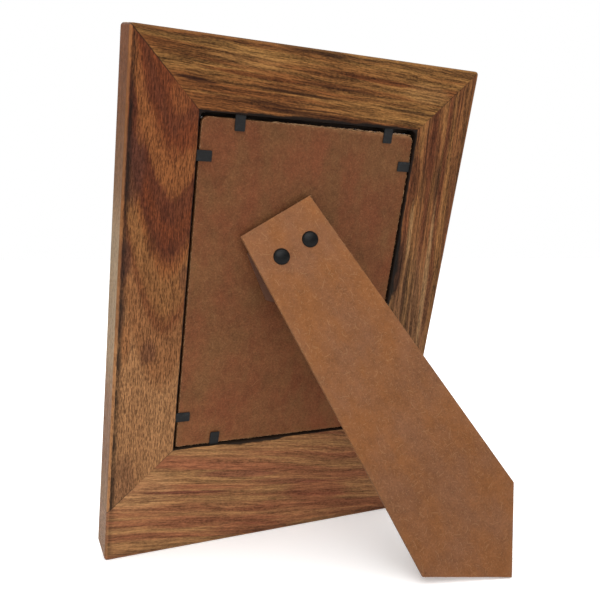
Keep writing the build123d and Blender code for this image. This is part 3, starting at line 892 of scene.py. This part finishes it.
def makeSteel(name, dark, light, roughness, metallic=0.0, specular=0.3):
    material, tree, shader = newMaterial(name, Metallic=metallic, Specular_IOR_Level=specular)
    at = placeNode(tree, back)
    wear = ramp(tree, cloud(tree, at, steelLook["wearSize"], 4.0, 0.65), *steelLook["wearFade"])
    scuff = cloud(tree, at, steelLook["scuffSize"], 3.0)
    low, high = roughness - steelLook["smoother"], roughness + steelLook["rougher"]
    rough = ramp(tree, scuff, *steelLook["scuffFade"], low, high)
    feed(tree, shader.inputs, Base_Color=mixed(tree, wear, dark, light), Roughness=rough)
    addBump(tree, shader, scuff, steelLook["relief"])
    return material


tabSteel = makeSteel("tabSteel", paint(15, 15, 16), paint(30, 31, 32), 0.5, specular=0.2)
rivetEnamel = makeSteel("rivetEnamel", paint(10, 10, 10), paint(17, 17, 16), 0.36, specular=0.14)
leafSteel = makeSteel("leafSteel", paint(88, 55, 38), paint(102, 66, 46), 0.55)
pinSteel = makeSteel("pinSteel", paint(150, 148, 144), paint(182, 180, 176), 0.3, metallic=1.0)


# a flat strip with rounded tip corners, bowed up towards its tip: x runs in from the rebate wall
def makeTabTree():
    tree, given, made = newGroup("flexTab", {
        "Reach": 6.2, "Width": 4.6, "Thickness": 0.5, "Tip radius": 0.9, "Bow": 0.1,
        "Material": "Material",
    }, {"Geometry": "Geometry"}, kind="GeometryNodeTree")
    inputs = {"Size X": given["Reach"], "Size Y": given["Width"], "Vertices X": 25, "Vertices Y": 9}
    strip = addNode(tree, "GeometryNodeMeshGrid", inputs).outputs["Mesh"]
    x, y = split(tree, addNode(tree, "GeometryNodeInputPosition").outputs[0])[:2]
    x = sums(tree, "MULTIPLY_ADD", given["Reach"], 0.5, x)
    past = minus(tree, x, minus(tree, given["Reach"], given["Tip radius"]))
    past = sums(tree, "MAXIMUM", past, 0.0)
    left = minus(tree, sums(tree, "POWER", given["Tip radius"], 2.0), sums(tree, "POWER", past, 2.0))
    cut = minus(tree, given["Tip radius"], sums(tree, "SQRT", sums(tree, "MAXIMUM", left, 0.0)))
    narrowed = sums(tree, "DIVIDE", cut, times(tree, given["Width"], 0.5))
    y = times(tree, y, minus(tree, 1.0, narrowed))
    bowed = times(tree, given["Bow"], sums(tree, "POWER", sums(tree, "DIVIDE", x, given["Reach"]), 2.0))
    inputs = {"Geometry": strip, "Position": joined(tree, x, y, bowed)}
    under = addNode(tree, "GeometryNodeSetPosition", inputs).outputs[0]
    inputs = {"Mesh": under, "Offset": joined(tree, 0.0, 0.0, given["Thickness"]), "Individual": False}
    upper = addNode(tree, "GeometryNodeExtrudeMesh", inputs).outputs["Mesh"]
    both = addNode(tree, "GeometryNodeJoinGeometry")
    tree.links.new(addNode(tree, "GeometryNodeFlipFaces", {0: under}).outputs[0], both.inputs[0])
    tree.links.new(upper, both.inputs[0])
    inputs = {"Geometry": both.outputs[0], "Distance": 0.001}
    closed = addNode(tree, "GeometryNodeMergeByDistance", inputs).outputs[0]
    endTree(tree, closed, given["Material"], made)
    return tree


tabLook = {
    "tipRadius": 0.35, "eased": 0.1, "bow": 0.1,
    "bent": {"tab_bottom_left": 0.55, "tab_top_left": 0.25},
}
tabTree = makeTabTree()
tabNames = [name for name in nodes if name.startswith("tab_") and name != "tab_points"]
for name in tabNames:
    bend = joints[name.replace("tab_", "bend_")]
    root = Vector(bend["pos_m"])
    inward = Vector(bend["axis"]).normalized().cross(out)
    if (sum(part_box(name), Vector()) / 2 - root).dot(inward) < 0:
        inward = -inward
    place = axesMatrix(inward, out.cross(inward), out, root)
    points = pointsOf(name, place)
    low, high = points.min(0), points.max(0)
    values = {
        "Reach": high[0] - low[0], "Width": high[1] - low[1], "Thickness": high[2] - low[2],
        "Tip radius": tabLook["tipRadius"], "Bow": tabLook["bent"].get(name, tabLook["bow"]),
        "Material": tabSteel,
    }
    start = Matrix.Translation(Vector((low[0], (low[1] + high[1]) / 2, low[2])) * mm)
    mesh = grow(name + "_strip", tabTree, values, place @ start, bevel=tabLook["eased"])
    addPiece(name + "_strip", mesh, name, "black_steel", name)
dress("tab_points", tabSteel)


def turnedMesh(name, section, sides, crease):
    # a section of radius and height, turned about its axis from pole to pole
    verts = [(0, 0, section[0][1])]
    for radius, height in section[1:-1]:
        for index in range(sides):
            angle = math.tau * index / sides
            verts.append((radius * math.cos(angle), radius * math.sin(angle), height))
    verts.append((0, 0, section[-1][1]))
    last = len(verts) - 1
    faces = []
    for index in range(sides):
        after = (index + 1) % sides
        faces.append((0, 1 + index, 1 + after))
        faces.append((last, last - sides + after, last - sides + index))
        for ring in range(len(section) - 3):
            first, second = 1 + ring * sides + index, 1 + ring * sides + after
            faces.append((first, first + sides, second + sides, second))
    mesh = bpy.data.meshes.new(name)
    mesh.from_pydata(verts, [], faces)
    mesh.shade_smooth()
    mesh.set_sharp_from_angle(angle=math.radians(crease))
    return mesh


# a row of equal pieces about the middle of the row
def makeRowTree():
    tree, given, made = newGroup("rivetRow", {
        "Piece": "Object", "Count": 2, "Spacing": 15.0, "Material": "Material",
    }, {"Geometry": "Geometry"}, kind="GeometryNodeTree")
    inputs = {"Object": given["Piece"]}
    piece = addNode(tree, "GeometryNodeObjectInfo", inputs, transform_space="ORIGINAL").outputs["Geometry"]
    gaps = minus(tree, given["Count"], 1.0)
    first = times(tree, times(tree, gaps, given["Spacing"]), -0.5)
    inputs = {
        "Count": given["Count"], "Start Location": joined(tree, first, 0.0, 0.0),
        "Offset": joined(tree, given["Spacing"], 0.0, 0.0),
    }
    row = addNode(tree, "GeometryNodeMeshLine", inputs).outputs[0]
    row = addNode(tree, "GeometryNodeInstanceOnPoints", {"Points": row, "Instance": piece}).outputs[0]
    endTree(tree, row, given["Material"], made)
    return tree


rivetLook = {
    "sides": 40, "crease": 40, "domeSteps": 8, "domeAngle": 80, "domeShare": 0.97, "domeFoot": 1.5,
    "rimShare": 0.16, "rimFoot": 0.02, "shank": 1.5,
    "tail": 2.4, "tailHeight": 0.6, "tailSide": 0.7, "tailFlat": 0.6,
}
points = pointsOf("strut_rivets", strutPlace)
right = points[points[:, 0] > 0]
rivetMiddle = (right.min(0) + right.max(0)) / 2
headRadius = (right[:, 0].max() - right[:, 0].min()) / 2
headHeight = points[:, 2].max() - strutTop
grip = strutTop - points[:, 2].min() - rivetLook["tailHeight"]
rim = rivetLook["rimShare"] * headHeight
section = [(0, headHeight)]
domeAngle = math.radians(rivetLook["domeAngle"])
domeHeight = headHeight - rivetLook["domeFoot"] * rim
for step in range(1, rivetLook["domeSteps"] + 1):
    angle = domeAngle * step / rivetLook["domeSteps"]
    fall = (1 - math.cos(angle)) / (1 - math.cos(domeAngle))
    radius = headRadius * rivetLook["domeShare"] * math.sin(angle) / math.sin(domeAngle)
    section.append((radius, headHeight - domeHeight * fall))
shank, tail, tailHeight = rivetLook["shank"], rivetLook["tail"], rivetLook["tailHeight"]
section += [
    (headRadius, rim), (headRadius, rivetLook["rimFoot"]), (shank, 0.0), (shank, -grip), (tail, -grip),
    (tail, -grip - rivetLook["tailSide"] * tailHeight),
    (rivetLook["tailFlat"] * tail, -grip - tailHeight), (0, -grip - tailHeight),
]
rivetMesh = turnedMesh("oneRivet", section, rivetLook["sides"], rivetLook["crease"])
oneRivet = newObject("oneRivet", rivetMesh)
values = {"Piece": oneRivet, "Count": 2, "Spacing": 2 * rivetMiddle[0], "Material": rivetEnamel}
rivetPlace = strutPlace @ Matrix.Translation(Vector((0, rivetMiddle[1], strutTop)) * mm)
rowMesh = grow("rivetHeads", makeRowTree(), values, rivetPlace)
bpy.data.objects.remove(oneRivet)
addPiece("rivetHeads", rowMesh, "strut", "black_steel", "strut_rivets")

dress("backboard_rivets", rivetEnamel)
dress("hinge_fixed_leaf", leafSteel)
dress("hinge_moving_leaf", leafSteel)
dress("hinge_pin", pinSteel)
print("metal: tabs, rivets and hinge")


# glass, print and dowels

glassLook = {"tint": (0.96, 0.985, 0.975, 1), "smudgeSize": (28, 28, 28), "smudges": (0.45, 0.8, 0.0, 0.06)}
glassMaterial, glassTree, glassShader = newMaterial(
    "clearGlass", Base_Color=glassLook["tint"], Transmission_Weight=1.0, IOR=1.5)
smudge = cloud(glassTree, placeNode(glassTree, back), glassLook["smudgeSize"], 4.0)
feed(glassTree, glassShader.inputs, Roughness=ramp(glassTree, smudge, *glassLook["smudges"]))
dress("glass_pane", glassMaterial)
nodes["glass_pane"].visible_shadow = False  # lets the lamps reach the print

printCard = twoToned("printCard", 0.6, paint(236, 230, 216), paint(246, 242, 232), Roughness=0.7)
dress("photo_print", printCard)
dowelWood = twoToned("dowelWood", 1.2, paint(206, 174, 128), paint(184, 148, 102), Roughness=0.6)
dress("corner_dowels", dowelWood)
print("glass, print and dowels")


# stage

studio = {
    "floorSize": 40.0, "floorColour": (0.97, 0.97, 0.965, 1), "floorGlow": 0.2, "worldGlow": 0.45,
    "sunPower": 2.2, "sunSpread": 70, "sunFrom": (0.5, 1.0, 1.9),
    "lamps": {  # power, size and place
        "key": (4.5, 0.8, (0.45, 0.95, 0.8)),
        "fill": (0.3, 1.2, (-0.7, 0.8, 0.5)),
        "rim": (0.7, 0.8, (0.9, 0.1, 0.35)),
        "front": (5.0, 0.9, (-0.35, -0.95, 0.75)),
    },
}


def addFloor():
    half = studio["floorSize"] / 2
    mesh = bpy.data.meshes.new("floor")
    corners = [(-half, -half, 0), (half, -half, 0), (half, half, 0), (-half, half, 0)]
    mesh.from_pydata(corners, [], [(0, 1, 2, 3)])
    floor = newObject("floor", mesh)
    mesh.materials.append(newMaterial(
        "paleFloor", Base_Color=studio["floorColour"], Roughness=0.9, Specular_IOR_Level=0.1,
        Emission_Color=(1, 1, 1, 1), Emission_Strength=studio["floorGlow"])[0])


def facing(direction):
    return direction.to_track_quat("-Z", "Y").to_euler()


def addLamps(aim):
    for name, (power, size, at) in studio["lamps"].items():
        light = bpy.data.lights.new(name, "AREA")
        light.energy = power
        light.size = size
        lamp = newObject(name, light)
        lamp.location = at
        lamp.rotation_euler = facing(aim - Vector(at))


def addSun():
    # broad light from high behind the camera, which also keeps the far floor pale
    light = bpy.data.lights.new("sun", "SUN")
    light.energy = studio["sunPower"]
    light.angle = math.radians(studio["sunSpread"])
    newObject("sun", light).rotation_euler = facing(-Vector(studio["sunFrom"]))


def addWorld():
    world = bpy.data.worlds.new("studioGlow")
    bpy.context.scene.world = world
    world.use_nodes = True
    tree = world.node_tree
    seen = addNode(tree, "ShaderNodeLightPath").outputs["Is Camera Ray"]
    glow = ramp(tree, seen, 0, 1, studio["worldGlow"], 1.0, smooth=False)
    sky = tree.nodes["Background"]
    sky.inputs["Color"].default_value = (1, 1, 1, 1)
    tree.links.new(glow, sky.inputs["Strength"])


addFloor()
addWorld()
addLamps(back.translation)
addSun()

view = {
    "across": -146.2, "up": 113.4, "out": 283.8,  # the camera, from the middle of the back face, mm
    "aimAcross": 3.3, "aimUp": 8.7, "lens": 42.84, "near": 0.01,
}


def addCamera():
    data = bpy.data.cameras.new("camera")
    data.lens = view["lens"]
    data.clip_start = view["near"]
    camera = newObject("camera", data)
    camera.location = back @ (Vector((view["across"], view["up"], view["out"])) * mm)
    aim = back @ (Vector((view["aimAcross"], view["aimUp"], 0)) * mm)
    camera.rotation_euler = facing(aim - camera.location)
    bpy.context.scene.camera = camera


addCamera()
bpy.context.scene.view_settings.view_transform = "Standard"
print("stage: floor, lights and camera")
